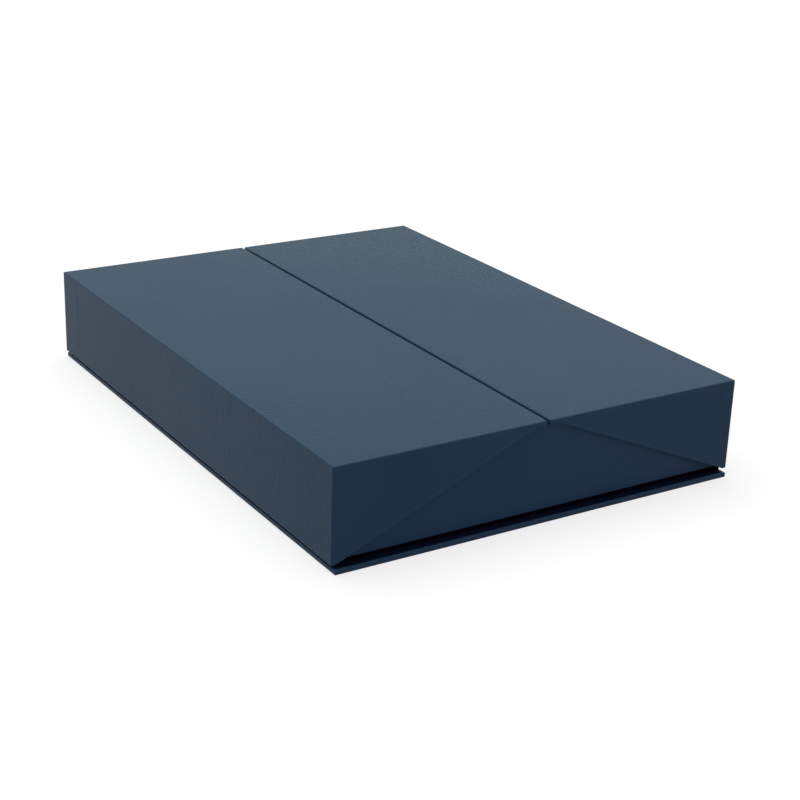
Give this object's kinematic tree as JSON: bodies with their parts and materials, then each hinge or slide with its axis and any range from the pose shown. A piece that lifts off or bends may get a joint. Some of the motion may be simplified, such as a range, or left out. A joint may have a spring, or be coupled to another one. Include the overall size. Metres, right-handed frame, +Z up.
{
  "type": "double door gift box",
  "caption": "Flat rigid gift box for papers: two winged doors hinged on the long sides open outwards from a central seam over a lined tray on a thin base board.",
  "frame": {"origin": "middle of the base's underside, on the table", "axes": "+X across the doors to the right one, +Y along the seam to the back end, +Z up"},
  "size_m": [0.231, 0.315, 0.052],
  "materials": {
    "covering_paper": "satin",
    "lining_paper": "matte",
    "board": "matte",
    "black_board": "matte",
    "hinge_cloth": "matte",
    "keeper_steel": "satin",
    "magnet_nickel": "polished"
  },
  "bodies": {
    "base": {"base_board": "board", "base_wrap": "covering_paper", "hinge_cloth": "hinge_cloth", "plinth_board": "black_board", "tray_floor_board": "board", "tray_front_board": "board", "tray_back_board": "board", "tray_left_board": "board", "tray_right_board": "board", "tray_wrap": "covering_paper", "tray_wall_lining": "lining_paper", "tray_floor_lining": "lining_paper", "steel_keepers": "keeper_steel"},
    "left_door": {"left_top_board": "board", "left_side_board": "board", "left_front_wing_board": "board", "left_back_wing_board": "board", "left_door_wrap": "covering_paper", "left_door_lining": "lining_paper", "left_front_wing_lining": "lining_paper", "left_back_wing_lining": "lining_paper", "left_hinge_leaf": "hinge_cloth", "left_magnets": "magnet_nickel"},
    "right_door": {"right_top_board": "board", "right_side_board": "board", "right_front_wing_board": "board", "right_back_wing_board": "board", "right_door_wrap": "covering_paper", "right_door_lining": "lining_paper", "right_front_wing_lining": "lining_paper", "right_back_wing_lining": "lining_paper", "right_hinge_leaf": "hinge_cloth", "right_magnets": "magnet_nickel"}
  },
  "joints": [
    {"name": "left_door_hinge", "type": "hinge", "parent": "base", "child": "left_door", "pos_m": [-0.11315, 0, 0.00285], "axis": [0, -1, 0], "range_deg": [0, 90]},
    {"name": "right_door_hinge", "type": "hinge", "parent": "base", "child": "right_door", "pos_m": [0.11315, 0, 0.00285], "axis": [0, 1, 0], "range_deg": [0, 90]}
  ]
}
